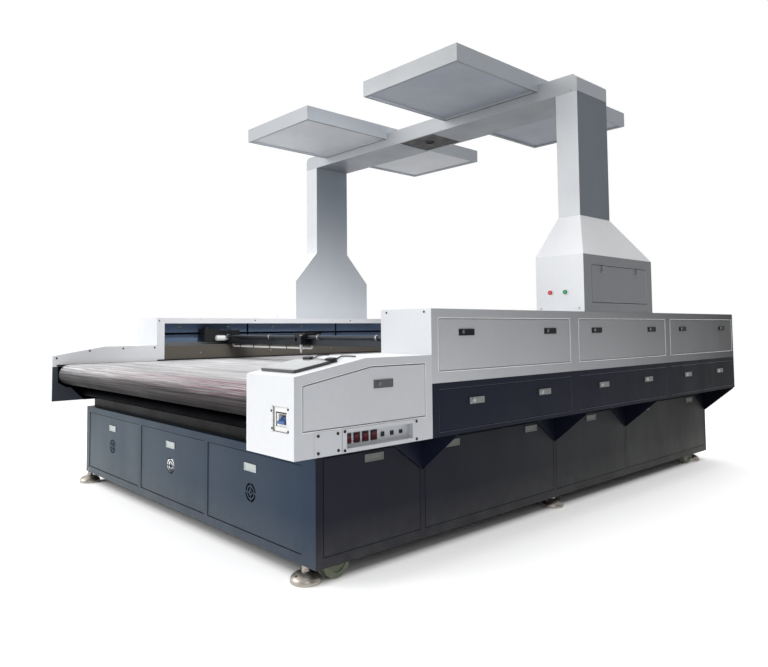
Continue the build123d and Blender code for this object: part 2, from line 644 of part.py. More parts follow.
with BuildPart() as gantry_motor:
    block(-1124, -1046, 742, gy - 40, 808, 888)
    with Locations((-1085, F + 780, 895)):
        Cylinder(26, 14)
    fillet(gantry_motor.faces().sort_by(Axis.Z)[-1].edges(), radius=4)
save(gantry_motor.part, "gantry_motor")

with BuildPart() as mirror_housing:
    with Locations((-1010, F + 842, 827)):
        Cylinder(18, 62, rotation=(90, 0, 0))
    block(-1028, -1000, 866, gy, 815, 832)
    with Locations((-1010, F + 810, 827)):
        Cylinder(12, 6, rotation=(90, 0, 0))
save(mirror_housing.part, "mirror_housing")

with BuildPart() as air_hose:
    with BuildLine(front(912)) as hose_path:
        Polyline((-960, 789), (-960, 774), (-98, 774), (-98, 789))
        fillet(hose_path.vertices().sort_by(Axis.Z)[:2], radius=12)
    with BuildSketch(Plane(origin=(-960, F + 912, 789), z_dir=(0, 0, -1))):
        Circle(6.5)
    sweep(path=hose_path.line)
save(air_hose.part, "air_hose")

# laser head: carriage hooked over the beam, with the lens ring on its front
hc = -150.0
with BuildPart() as head_carriage:
    block(hc - 45, hc + 52, 856, 866, 792, 862)
    block(hc - 45, hc + 52, 856, 975, tube_z + tube_r + 0.05, 862)
    with Locations((hc, F + 846, 825)):
        Cylinder(20, 20, rotation=(90, 0, 0))
    with Locations((hc, F + 840, 825)):
        Cylinder(12, 12, rotation=(90, 0, 0), mode=Mode.SUBTRACT)
    block(hc + 24, hc + 52, 832, 856, 796, 846)
    with Locations((hc + 38, F + 844, 820)):
        Cylinder(9.05, 60, mode=Mode.SUBTRACT)
save(head_carriage.part, "head_carriage")

with BuildPart() as laser_nozzle:
    with BuildSketch(Plane(origin=(hc + 38, F + 844, 0), x_dir=(1, 0, 0), z_dir=(0, -1, 0))):
        with BuildLine():
            Polyline((0, 852), (9, 852), (9, 772), (3.5, 748), (1.5, 748), (1.5, 780), (0, 780), close=True)
        make_face()
    revolve(axis=Axis((hc + 38, F + 844, 0), (0, 0, 1)))
save(laser_nozzle.part, "laser_nozzle")

# discharge tube in the right housing's outer compartment
with BuildPart() as laser_tube:
    with Locations((1217, F + 1400, 852)):
        Cylinder(40, 1640, rotation=(90, 0, 0))
        Cylinder(26, 1720, rotation=(90, 0, 0))
        Cylinder(36, 1560, rotation=(90, 0, 0), mode=Mode.SUBTRACT)
        Cylinder(16, 1560, rotation=(90, 0, 0))
save(laser_tube.part, "laser_tube")
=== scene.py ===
import math
import random
import bpy
import bmesh
from mathutils import Matrix, Vector


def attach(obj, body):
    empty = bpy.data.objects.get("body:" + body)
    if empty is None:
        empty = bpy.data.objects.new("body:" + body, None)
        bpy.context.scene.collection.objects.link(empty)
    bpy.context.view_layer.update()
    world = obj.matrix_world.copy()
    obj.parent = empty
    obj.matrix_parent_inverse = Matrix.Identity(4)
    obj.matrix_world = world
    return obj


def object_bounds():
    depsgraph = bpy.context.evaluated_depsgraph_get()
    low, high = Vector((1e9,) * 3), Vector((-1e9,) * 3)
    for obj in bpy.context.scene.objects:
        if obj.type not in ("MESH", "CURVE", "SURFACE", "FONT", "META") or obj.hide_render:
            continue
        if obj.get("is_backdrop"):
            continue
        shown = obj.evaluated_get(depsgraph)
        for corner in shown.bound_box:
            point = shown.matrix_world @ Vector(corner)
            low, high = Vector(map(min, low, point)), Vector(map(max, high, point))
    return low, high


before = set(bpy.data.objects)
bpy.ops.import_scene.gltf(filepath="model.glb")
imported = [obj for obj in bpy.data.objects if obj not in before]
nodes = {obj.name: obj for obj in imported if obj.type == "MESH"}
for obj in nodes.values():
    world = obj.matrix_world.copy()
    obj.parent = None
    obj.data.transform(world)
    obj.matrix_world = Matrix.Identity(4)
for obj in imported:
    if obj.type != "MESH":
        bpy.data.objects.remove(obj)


def plain(b):
    """Bounds as plain lists of numbers."""
    if isinstance(b, dict):
        return {k: plain(v) for k, v in b.items()}
    if isinstance(b, (list, tuple, Vector)):
        return [plain(v) for v in b]
    return round(float(b), 6)


cad_bounds = plain(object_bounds())
random.seed(7)

F = -1.545               # front face of the base cabinet, metres
HX0, HX1 = 1.018, 1.286  # housings, inner and outer face
SLOPE = math.atan(48.0 / 295.0)


def Y(mm):
    return F + mm / 1000.0


# ------------------------------------------------------------------ materials
class Mat:
    """A small builder of node materials in object coordinates (metres)."""

    def __init__(self, name):
        self.mat = bpy.data.materials.new(name)
        self.mat.use_nodes = True
        self.nt = self.mat.node_tree
        self.bsdf = self.nt.nodes["Principled BSDF"]
        self.tc = self.nt.nodes.new("ShaderNodeTexCoord")
        self.sep = self.nt.nodes.new("ShaderNodeSeparateXYZ")
        self.link(self.tc.outputs["Object"], self.sep.inputs[0])
        self.nrm = self.nt.nodes.new("ShaderNodeSeparateXYZ")
        self.link(self.tc.outputs["Normal"], self.nrm.inputs[0])

    def link(self, a, b):
        self.nt.links.new(a, b)

    def put(self, value, socket):
        if isinstance(value, bpy.types.NodeSocket):
            self.link(value, socket)
        elif isinstance(value, (tuple, list)):
            socket.default_value = (*value[:3], 1.0) if len(socket.default_value) == 4 else value
        else:
            socket.default_value = value

    def coords(self, stretch=(1, 1, 1)):
        m = self.nt.nodes.new("ShaderNodeMapping")
        m.inputs["Scale"].default_value = stretch
        self.link(self.tc.outputs["Object"], m.inputs["Vector"])
        return m.outputs["Vector"]

    def noise(self, scale, detail=3.0, rough=0.55, stretch=(1, 1, 1), distortion=0.0):
        n = self.nt.nodes.new("ShaderNodeTexNoise")
        n.inputs["Scale"].default_value = scale
        n.inputs["Detail"].default_value = detail
        n.inputs["Roughness"].default_value = rough
        n.inputs["Distortion"].default_value = distortion
        self.link(self.coords(stretch), n.inputs["Vector"])
        return n.outputs["Fac"]

    def math(self, op, a, b=0.0, clamp=False):
        n = self.nt.nodes.new("ShaderNodeMath")
        n.operation = op
        n.use_clamp = clamp
        self.put(a, n.inputs[0])
        self.put(b, n.inputs[1])
        return n.outputs[0]

    def remap(self, v, a, b, c, d):
        n = self.nt.nodes.new("ShaderNodeMapRange")
        n.clamp = True
        self.put(v, n.inputs[0])
        for i, x in enumerate((a, b, c, d)):
            n.inputs[i + 1].default_value = x
        return n.outputs[0]

    def above(self, axis, value, soft=0.0004):
        """1 where the coordinate is above the value."""
        src = self.sep.outputs[axis] if isinstance(axis, str) else axis
        return self.remap(src, value - soft, value + soft, 0.0, 1.0)

    def between(self, axis, lo, hi, soft=0.0004):
        return self.math("MULTIPLY", self.above(axis, lo, soft),
                         self.math("SUBTRACT", 1.0, self.above(axis, hi, soft)))

    def both(self, *f):
        out = f[0]
        for g in f[1:]:
            out = self.math("MULTIPLY", out, g)
        return out

    def either(self, *f):
        out = f[0]
        for g in f[1:]:
            out = self.math("MAXIMUM", out, g)
        return out

    def facing(self, axis, sign=1, limit=0.9):
        """1 on faces whose normal lies along the axis, in the piece's own coordinates."""
        v = self.nrm.outputs[axis]
        return self.remap(self.math("MULTIPLY", v, float(sign)), limit - 0.03, limit + 0.03, 0.0, 1.0)

    def absx(self):
        return self.math("ABSOLUTE", self.sep.outputs["X"])

    def mix(self, fac, a, b):
        n = self.nt.nodes.new("ShaderNodeMix")
        n.data_type = "RGBA"
        self.put(fac, n.inputs[0])
        self.put(a, n.inputs[6])
        self.put(b, n.inputs[7])
        return n.outputs[2]

    def tint(self, colour, fac, low, high):
        """Multiply a colour by a grey that runs from low to high with fac."""
        n = self.nt.nodes.new("ShaderNodeMix")
        n.data_type = "RGBA"
        n.blend_type = "MULTIPLY"
        n.inputs[0].default_value = 1.0
        self.put(colour, n.inputs[6])
        g = self.remap(fac, 0.25, 0.75, low, high)
        c = self.nt.nodes.new("ShaderNodeCombineColor")
        for i in range(3):
            self.link(g, c.inputs[i])
        self.link(c.outputs[0], n.inputs[7])
        return n.outputs[2]

    def bump(self, height, strength, distance, normal=None):
        n = self.nt.nodes.new("ShaderNodeBump")
        n.inputs["Strength"].default_value = strength
        n.inputs["Distance"].default_value = distance
        self.link(height, n.inputs["Height"])
        if normal is not None:
            self.link(normal, n.inputs["Normal"])
        return n.outputs["Normal"]

    def done(self, colour, rough, normal=None, metallic=0.0, coat=0.0, coat_rough=0.1, emission=None,
             strength=0.0, transmission=0.0, ior=None, spec=None):
        self.put(colour, self.bsdf.inputs["Base Color"])
        self.put(rough, self.bsdf.inputs["Roughness"])
        self.put(metallic, self.bsdf.inputs["Metallic"])
        if normal is not None:
            self.link(normal, self.bsdf.inputs["Normal"])
        self.bsdf.inputs["Coat Weight"].default_value = coat
        self.bsdf.inputs["Coat Roughness"].default_value = coat_rough
        if emission is not None:
            self.put(emission, self.bsdf.inputs["Emission Color"])
            self.bsdf.inputs["Emission Strength"].default_value = strength
        self.bsdf.inputs["Transmission Weight"].default_value = transmission
        if ior is not None:
            self.bsdf.inputs["IOR"].default_value = ior
        if spec is not None:
            self.bsdf.inputs["Specular IOR Level"].default_value = spec
        return self.mat


# The white paint in lit and shaded copies. WHITE is the paint. The front, neck, canopy, side, SHADE, underside,
# post-side and console-side values are painted shade for the way light falls on each face.
WHITE = (0.80, 0.81, 0.83)
WHITE_FRONT_SHADE = (0.690, 0.705, 0.730)
NECK_FRONT_SHADE = (0.53, 0.545, 0.570)
CANOPY_FRONT_SHADE = (0.385, 0.400, 0.420)
WHITE_SIDE_SHADE = (0.52, 0.535, 0.56)
SHADE = (0.47, 0.505, 0.55)
UNDERSIDE_SHADE = (0.170, 0.186, 0.210)
POST_SIDE_SHADE = (0.160, 0.185, 0.220)
CONSOLE_SIDE_SHADE = (0.56, 0.575, 0.605)
NAVY = (0.0075, 0.0095, 0.022)
NIGHT = (0.0096, 0.0107, 0.0158)
SLATE = (0.028, 0.044, 0.068)
DARK = (0.0010, 0.0012, 0.0024)
OLIVE = (0.120, 0.108, 0.092)
INNER = (0.200, 0.275, 0.410)


def powder(name, colour_of, rough=0.42, coat=0.0, spec=0.5):
    """Powder-coated sheet: fine orange peel, slow colour drift, handled spots and dust near the floor."""
    m = Mat(name)
    colour = colour_of(m)
    drift = m.noise(1.6, 3.0)
    colour = m.tint(colour, drift, 0.95, 1.04)
    fine = m.noise(60.0, 4.0)
    colour = m.tint(colour, fine, 0.98, 1.015)
    dust = m.math("MULTIPLY", m.remap(m.sep.outputs["Z"], 0.055, 0.22, 1.0, 0.0), m.noise(14.0, 5.0, 0.65))
    colour = m.mix(m.math("MULTIPLY", dust, 0.22), colour, (0.30, 0.29, 0.27))
    smear = m.noise(5.0, 4.0, 0.6, stretch=(1, 1, 0.35))
    roughness = m.remap(smear, 0.3, 0.7, rough - 0.06, rough + 0.08)
    peel = m.noise(520.0, 2.0, 0.5)
    wave = m.noise(7.0, 1.0)
    n = m.bump(peel, 0.10, 0.0004)
    n = m.bump(wave, 0.10, 0.002, n)
    return m.done(colour, roughness, n, coat=coat, coat_rough=0.25, spec=spec)


def white_painted_shade(m):
    """White coat with painted shade: a shade greyer on the faces towards the loading side and on the left, greyer again
    up the neck and on the canopy's front.
    """
    return m.mix(m.facing("Y", -1), m.mix(m.facing("X", -1), WHITE, (0.40, 0.41, 0.43)), m.mix(m.above("Z", 2.112, 0.002), m.mix(m.remap(m.sep.outputs["Z"], 1.25, 1.60, 0.0, 1.0), WHITE_FRONT_SHADE, NECK_FRONT_SHADE), CANOPY_FRONT_SHADE))


def side_shade_falloff(m, colour, low=0.15, high=0.90):
    """Painted shade: the long side turns greyer towards the back and towards its top edge."""
    g = m.math("MULTIPLY", m.remap(m.sep.outputs["Y"], Y(396), Y(3317), high, low),
               m.remap(m.sep.outputs["Z"], 0.69, 0.95, 1.12, 0.92))
    c = m.nt.nodes.new("ShaderNodeCombineColor")
    for i in range(3):
        m.link(g, c.inputs[i])
    n = m.nt.nodes.new("ShaderNodeMix")
    n.data_type = "RGBA"
    n.blend_type = "MULTIPLY"
    n.inputs[0].default_value = 1.0
    m.put(colour, n.inputs[6])
    m.link(c.outputs[0], n.inputs[7])
    return n.outputs[2]


def nights(m):
    """The long lower side, a touch lighter and browner towards the back."""
    return m.mix(m.remap(m.sep.outputs["Y"], Y(600), Y(3200), 0.0, 1.0), (0.0118, 0.0130, 0.0215), (0.0212, 0.0222, 0.0200))


def slates(m):
    """The loading face runs from a greyer left to a deeper blue right."""
    g = m.remap(m.sep.outputs["X"], -1.1, 1.05, 0.0, 1.0)
    return m.mix(g, (0.060, 0.081, 0.101), (0.0180, 0.0335, 0.0600))


def c_white(m):
    # painted shade: +X faces take SHADE and downward faces a dark underside grey
    return m.mix(m.facing("Z", -1), m.mix(m.facing("X"), white_painted_shade(m), SHADE), UNDERSIDE_SHADE)


def post_side_shade(m):
    """Painted shade on the right post's outer face, lighter on the box below the neck."""
    return m.mix(m.remap(m.sep.outputs["Z"], 1.25, 1.42, 0.0, 1.0), (0.225, 0.235, 0.250), POST_SIDE_SHADE)


def c_post(m):
    side = m.facing("X", 1, 0.95)
    right = m.above("X", 0.0)
    c = m.mix(m.both(side, right), white_painted_shade(m), post_side_shade(m))
    # painted shade on the left post's +X face: light at the bottom, darker towards the top
    fall = m.math("POWER", m.remap(m.sep.outputs["Z"], 1.02, 1.98, 1.0, 0.0), 1.5)
    flank_shade = m.mix(fall, (0.200, 0.228, 0.260), (0.70, 0.735, 0.780))
    return m.mix(m.both(side, m.math("SUBTRACT", 1.0, right)), c, flank_shade)


def c_side(m):
    # painted shade: the outer side faces take the darker side white
    return m.mix(m.above(m.absx(), HX1 - 0.0012, 0.0002), white_painted_shade(m), WHITE_SIDE_SHADE)


def c_housing_right(m):
    # painted shade: the outer +X face takes the side white, greyer towards the back and the top
    c = m.mix(m.above("X", HX1 - 0.0012, 0.0002), white_painted_shade(m), side_shade_falloff(m, WHITE_SIDE_SHADE))
    low = m.math("SUBTRACT", 1.0, m.above("Z", 0.684))
    # navy lower band, with painted shade greyer towards the back and the top
    c = m.mix(low, c, side_shade_falloff(m, NAVY, 0.28, 1.04))
    inner = m.both(m.above("Z", 0.6905), m.math("SUBTRACT", 1.0, m.above("Z", 0.785)),
                   m.math("SUBTRACT", 1.0, m.above("X", HX0 + 0.001)), m.above("Y", Y(446)))
    c = m.mix(inner, c, OLIVE)
    chan = m.both(m.between("X", HX0 + 0.0008, 1.1512), m.between("Z", 0.782, 0.9575), m.between("Y", Y(398), Y(3315)))
    c = m.mix(chan, c, INNER)
    return c


def c_housing_left(m):
    # painted shade: the outer -X face takes the darker side white
    c = m.mix(m.math("SUBTRACT", 1.0, m.above("X", -HX1 + 0.0012, 0.0002)), white_painted_shade(m), WHITE_SIDE_SHADE)
    low = m.math("SUBTRACT", 1.0, m.above("Z", 0.684))
    c = m.mix(low, c, NAVY)
    inner = m.both(m.above("Z", 0.6905), m.math("SUBTRACT", 1.0, m.above("Z", 0.785)),
                   m.above("X", -HX0 - 0.001), m.above("Y", Y(446)))
    c = m.mix(inner, c, OLIVE)
    chan = m.both(m.between("X", -1.1512, -HX0 - 0.0008), m.between("Z", 0.782, 0.9575), m.between("Y", Y(398), Y(3315)))
    c = m.mix(chan, c, INNER)
    return c


def slope_height(m):
    """Height of a point above the sloping top of the arms."""
    line = m.math("MULTIPLY_ADD", m.sep.outputs["Y"], 48.0 / 295.0)
    n = line.node
    n.inputs[2].default_value = 0.741 + 1.772 * 48.0 / 295.0
    return m.math("SUBTRACT", m.sep.outputs["Z"], line)


def c_console(m):
    # painted shade: the outer +X face takes the darker console-side white
    c = m.mix(m.above("X", HX1 - 0.0012, 0.0002), white_painted_shade(m), CONSOLE_SIDE_SHADE)
    blocks = m.both(m.above(slope_height(m), 0.0008, 0.0002), m.between("Y", Y(-40), Y(30)))
    return m.mix(blocks, c, (0.012, 0.012, 0.014))


def c_arm_left(m):
    inner = m.above("X", -HX0 - 0.0012, 0.0002)
    low = m.math("SUBTRACT", 1.0, m.above("Z", 0.680))
    return m.mix(m.both(inner, low), white_painted_shade(m), (0.045, 0.052, 0.070))


def c_base(m):
    c = m.mix(m.above(m.absx(), 1.0988, 0.0002), slates(m), nights(m))
    # painted shade: the frame ring above the base top is near-black, for the shade under the belt
    ring = m.above("Z", 0.4372)
    c = m.mix(ring, c, DARK)
    # painted shade: the inside faces of the cabinet are darkened
    inside = m.both(m.math("SUBTRACT", 1.0, m.above(m.absx(), 1.0968)), m.above("Y", Y(3.4)),
                    m.math("SUBTRACT", 1.0, m.above("Y", Y(3303.6))), m.math("SUBTRACT", 1.0, m.above("Z", 0.4345)))
    return m.mix(inside, c, (0.03, 0.032, 0.04))


white = powder("powder_white", c_white)
white_plain = powder("powder_white_plain", lambda m: WHITE)
white_side = powder("powder_white_side", c_side)
# painted shade: the side white, greyer towards the back and the top, used for the upper doors
shaded_white_side = powder("powder_white_side_shade", lambda m: side_shade_falloff(m, WHITE_SIDE_SHADE))
# painted shade: console-side white for the plates on the console's +X face
console_side = powder("powder_console_side", lambda m: CONSOLE_SIDE_SHADE)
# the console door in the painted-shade console-side white, with a darker lock plate and key
console_door_mat = powder("powder_console_door", lambda m: m.mix(
    m.both(m.above("X", HX1 + 0.0006, 0.0002), m.between("Y", Y(100), Y(198))),
    CONSOLE_SIDE_SHADE, m.mix(m.above("X", HX1 + 0.0042, 0.0002), (0.085, 0.090, 0.100), (0.16, 0.165, 0.17))))
post_mat = powder("powder_post", c_post)
# the post door takes the post's outer face in painted shade
post_door_mat = powder("powder_post_door", post_side_shade)
housing_right_mat = powder("powder_housing_right", c_housing_right, rough=0.45, spec=0.12)
housing_left_mat = powder("powder_housing_left", c_housing_left, rough=0.45, spec=0.12)
console_mat = powder("powder_console", c_console)
arm_left_mat = powder("powder_arm_left", c_arm_left)
base_mat = powder("powder_base", c_base, rough=0.45, spec=0.10)
night_mat = powder("powder_night", nights, rough=0.45, spec=0.12)
# navy paint with painted shade, greyer towards the back and the top
navy_mat = powder("powder_navy", lambda m: side_shade_falloff(m, NAVY, 0.28, 1.04), rough=0.45, spec=0.12)
slate_mat = powder("powder_slate", slates, rough=0.45, spec=0.12)
# near-black: painted shade on the conveyor bed under the belt, and the dark seams and toothed belt in the channels
dark_mat = powder("powder_dark", lambda m: DARK, rough=0.7, spec=0.02)


def metal(name, colour, rough=0.28, along=(1, 1, 1), scratch=0.08, metallic=1.0):
    """Brushed or drawn metal with fine lines, stains and small scratches."""
    m = Mat(name)
    lines = m.noise(240.0, 3.0, 0.6, stretch=along)
    stain = m.noise(9.0, 4.0, 0.6)
    c = m.tint(colour, lines, 0.86, 1.06)
    c = m.tint(c, stain, 0.88, 1.05)
    r = m.math("ADD", m.remap(lines, 0.3, 0.7, rough - 0.06, rough + 0.06), m.remap(stain, 0.3, 0.7, -0.04, 0.08))
    n = m.bump(lines, scratch, 0.0003)
    return m.done(c, r, n, metallic=metallic)


pull_bright = metal("pull_plate", (0.46, 0.50, 0.49), 0.42, (1, 1, 0.1), 0.04, 0.35)
pull_dull = metal("pull_plate_dull", (0.155, 0.163, 0.155), 0.42, (1, 1, 0.1), 0.06, 0.4)
steel = metal("steel_satin", (0.36, 0.36, 0.345), 0.38, (1, 1, 0.1))
bright = metal("steel_bright", (0.58, 0.60, 0.60), 0.30, (0.05, 1, 1), 0.03)
zinc = metal("zinc_plate", (0.50, 0.46, 0.41), 0.38, (1, 1, 1), 0.10)
chrome = metal("chrome_plate", (0.88, 0.88, 0.88), 0.10, (1, 1, 1), 0.02)
alu_dark = metal("aluminium_dark", (0.055, 0.060, 0.068), 0.38, (0.04, 1, 1), 0.05)
steel_dark = metal("steel_dark", (0.045, 0.046, 0.05), 0.42, (1, 1, 1), 0.10)


def plastic(name, colour, rough=0.4, grain=380.0, depth=0.15, coat=0.0, emission=None, strength=0.0):
    """Moulded plastic with a fine grain, slight flow marks and handled spots."""
    m = Mat(name)
    c = m.tint(colour, m.noise(22.0, 3.0), 0.92, 1.05)
    spots = m.noise(70.0, 4.0, 0.6)
    c = m.tint(c, spots, 0.97, 1.02)
    r = m.remap(m.noise(30.0, 3.0), 0.3, 0.7, rough - 0.05, rough + 0.07)
    n = m.bump(m.noise(grain, 2.0), depth, 0.0003)
    return m.done(c, r, n, coat=coat, emission=emission, strength=strength)


black = plastic("plastic_black", (0.014, 0.014, 0.016), 0.42)
black_gloss = plastic("plastic_black_gloss", (0.010, 0.010, 0.012), 0.16, coat=0.4, depth=0.03)
grey_pl = plastic("plastic_grey", (0.62, 0.62, 0.60), 0.45)
white_pl = plastic("plastic_white", (0.80, 0.80, 0.79), 0.35)
blue_pl = plastic("plastic_blue", (0.018, 0.085, 0.27), 0.4)
red_pl = plastic("plastic_red", (0.42, 0.02, 0.03), 0.25, coat=0.4, emission=(0.6, 0.02, 0.02), strength=0.15)
green_pl = plastic("plastic_green", (0.01, 0.22, 0.10), 0.25, coat=0.4, emission=(0.0, 0.35, 0.14), strength=0.12)


def rocker_material():
    m = Mat("rocker_lens")
    z = m.sep.outputs["Z"]
    c = m.tint((0.060, 0.004, 0.010), m.noise(120.0, 3.0), 0.7, 1.3)
    line = m.between("Z", 0.5262, 0.5272, 0.0002)
    c = m.mix(line, c, (0.02, 0.004, 0.004))
    n = m.bump(m.noise(500.0, 2.0), 0.1, 0.0002)
    return m.done(c, m.remap(m.noise(60.0, 2.0), 0.3, 0.7, 0.34, 0.48), n, spec=0.25,
                  emission=(0.45, 0.02, 0.04), strength=0.02)


rocker_mat = rocker_material()


def lock_material(name, plate, keys):
    """Lock plate with a bright key cylinder standing out of it."""
    m = Mat(name)
    key = m.above("X", HX1 + 0.0042, 0.0002)
    c = m.tint(plate, m.noise(150.0, 3.0, stretch=(1, 1, 3)), 0.8, 1.2)
    c = m.mix(key, c, keys)
    n = m.bump(m.noise(420.0, 2.0), 0.08, 0.0003)
    return m.done(c, m.mix_rough(key), n, metallic=0.9)


def _mix_rough(self, key):
    return self.remap(key, 0.0, 1.0, 0.42, 0.16)


Mat.mix_rough = _mix_rough
lock_dark = lock_material("lock_dark", (0.028, 0.030, 0.036), (0.42, 0.42, 0.42))
lock_silver = lock_material("lock_silver", (0.30, 0.31, 0.32), (0.85, 0.85, 0.84))


def belt_material():
    """Conveyor felt: fine threads across the belt, worn and stained towards the nose, with painted shade round the nose
    and on the return run.
    """
    m = Mat("conveyor_felt")
    threads = m.noise(1.0, 4.0, 0.7, stretch=(2.2, 210.0, 210.0))
    bands = m.noise(1.0, 3.0, 0.6, stretch=(0.7, 26.0, 26.0))
    patch = m.noise(2.4, 4.0, 0.6)
    fibres = m.noise(650.0, 2.0)
    streaks = m.noise(1.0, 5.0, 0.75, stretch=(0.9, 95.0, 95.0), distortion=0.6)
    c = m.mix(m.remap(threads, 0.36, 0.64, 0.0, 1.0), (0.20, 0.195, 0.205), (0.78, 0.78, 0.785))
    c = m.tint(c, bands, 0.66, 1.28)
    c = m.tint(c, patch, 0.88, 1.08)
    dark_lines = m.remap(streaks, 0.53, 0.60, 0.0, 0.62)
    front = m.remap(m.sep.outputs["Y"], Y(900), Y(-80), 0.25, 1.0)
    c = m.mix(m.math("MULTIPLY", dark_lines, front), c, (0.060, 0.056, 0.064))
    # the rolled edge has picked up a wine-red dye in lines, stronger towards the console
    dye = m.math("MULTIPLY", m.remap(m.sep.outputs["Y"], Y(-10), Y(-135), 0.0, 1.0),
                 m.remap(streaks, 0.40, 0.56, 0.95, 0.12))
    side = m.remap(m.sep.outputs["X"], -0.75, 0.75, 0.10, 1.0)
    c = m.mix(m.math("MULTIPLY", dye, side), c, m.mix(m.remap(threads, 0.36, 0.64, 0.0, 1.0), (0.055, 0.012, 0.022), (0.30, 0.105, 0.150)))
    # painted shade: it darkens round the nose and is nearly black on the return run
    fall = m.remap(m.sep.outputs["Z"], 0.684, 0.640, 1.0, 0.16)
    under = m.remap(m.sep.outputs["Z"], 0.634, 0.600, 1.0, 0.12)
    shade = m.math("MULTIPLY", fall, under)
    g = m.nt.nodes.new("ShaderNodeCombineColor")
    for i in range(3):
        m.link(shade, g.inputs[i])
    mul = m.nt.nodes.new("ShaderNodeMix")
    mul.data_type = "RGBA"
    mul.blend_type = "MULTIPLY"
    mul.inputs[0].default_value = 1.0
    m.link(c, mul.inputs[6])
    m.link(g.outputs[0], mul.inputs[7])
    c = mul.outputs[2]
    n = m.bump(threads, 0.35, 0.0006)
    n = m.bump(fibres, 0.25, 0.0004, n)
    return m.done(c, m.remap(patch, 0.3, 0.7, 0.62, 0.85), n, spec=0.15)


felt = belt_material()


def wheel_material():
    """Caster wheel: greenish tyre with darker blotches."""
    m = Mat("caster_wheel")
    c = m.tint((0.115, 0.135, 0.085), m.noise(40.0, 4.0), 0.75, 1.15)
    c = m.mix(m.remap(m.noise(12.0, 5.0, 0.7), 0.52, 0.66, 0.0, 0.5), c, (0.07, 0.075, 0.06))
    n = m.bump(m.noise(160.0, 4.0), 0.25, 0.0006)
    return m.done(c, m.remap(m.noise(25.0, 3.0), 0.3, 0.7, 0.45, 0.65), n)


wheel_mat = wheel_material()


def diffuser_material():
    """Opal sheet with a fine prismatic pattern."""
    m = Mat("opal_sheet")
    v = m.nt.nodes.new("ShaderNodeTexVoronoi")
    v.inputs["Scale"].default_value = 170.0
    m.link(m.coords((1, 1, 1)), v.inputs["Vector"])
    # painted shade: the sheet turns greyer towards the right
    c = m.mix(m.remap(m.sep.outputs["X"], -0.3, 0.3, 0.0, 1.0), (0.47, 0.485, 0.51), (0.285, 0.305, 0.350))
    c = m.tint(c, m.noise(2.5, 3.0), 0.92, 1.06)
    c = m.tint(c, v.outputs["Distance"], 0.95, 1.03)
    n = m.bump(v.outputs["Distance"], 0.25, 0.0008)
    return m.done(c, m.remap(m.noise(8.0, 2.0), 0.3, 0.7, 0.5, 0.62), n)


opal = diffuser_material()


def lid_material():
    """Tinted cover plate with a dark painted border."""
    m = Mat("tinted_cover")
    border = m.either(m.math("SUBTRACT", 1.0, m.above("Y", Y(-176), 0.0004)), m.above("X", 1.2240, 0.0004),
                      m.above("Y", Y(-38), 0.0004))
    c = m.tint((0.33, 0.355, 0.37), m.noise(30.0, 4.0), 0.85, 1.12)
    c = m.mix(border, c, (0.014, 0.014, 0.016))
    scratches = m.noise(1.0, 4.0, 0.7, stretch=(25, 260, 60))
    n = m.bump(scratches, 0.05, 0.0002)
    return m.done(c, m.remap(scratches, 0.3, 0.7, 0.10, 0.22), n, coat=0.5, coat_rough=0.06)


lid_mat = lid_material()


def glass_material():
    m = Mat("tube_glass_wall")
    c = m.tint((0.72, 0.76, 0.78), m.noise(14.0, 3.0), 0.9, 1.05)
    ends = m.either(m.above("Y", Y(2196)), m.math("SUBTRACT", 1.0, m.above("Y", Y(604))))
    c = m.mix(ends, c, (0.80, 0.55, 0.28))
    n = m.bump(m.noise(18.0, 2.0), 0.05, 0.001)
    return m.done(c, m.remap(m.noise(30.0, 2.0), 0.3, 0.7, 0.04, 0.10), n, coat=0.6)


glass = glass_material()


def camera_material():
    m = Mat("camera_black")
    c = m.tint((0.012, 0.012, 0.014), m.noise(60.0, 3.0), 0.7, 1.3)
    n = m.bump(m.noise(300.0, 2.0), 0.08, 0.0003)
    return m.done(c, m.remap(m.noise(20.0, 3.0), 0.3, 0.7, 0.40, 0.55), n, spec=0.12)


camera_mat = camera_material()


def hose_material():
    m = Mat("hose_rubber")
    c = m.tint((0.66, 0.66, 0.65), m.noise(40.0, 3.0), 0.9, 1.06)
    n = m.bump(m.noise(260.0, 2.0), 0.1, 0.0003)
    return m.done(c, m.remap(m.noise(20.0, 3.0), 0.3, 0.7, 0.35, 0.5), n)


hose_mat = hose_material()

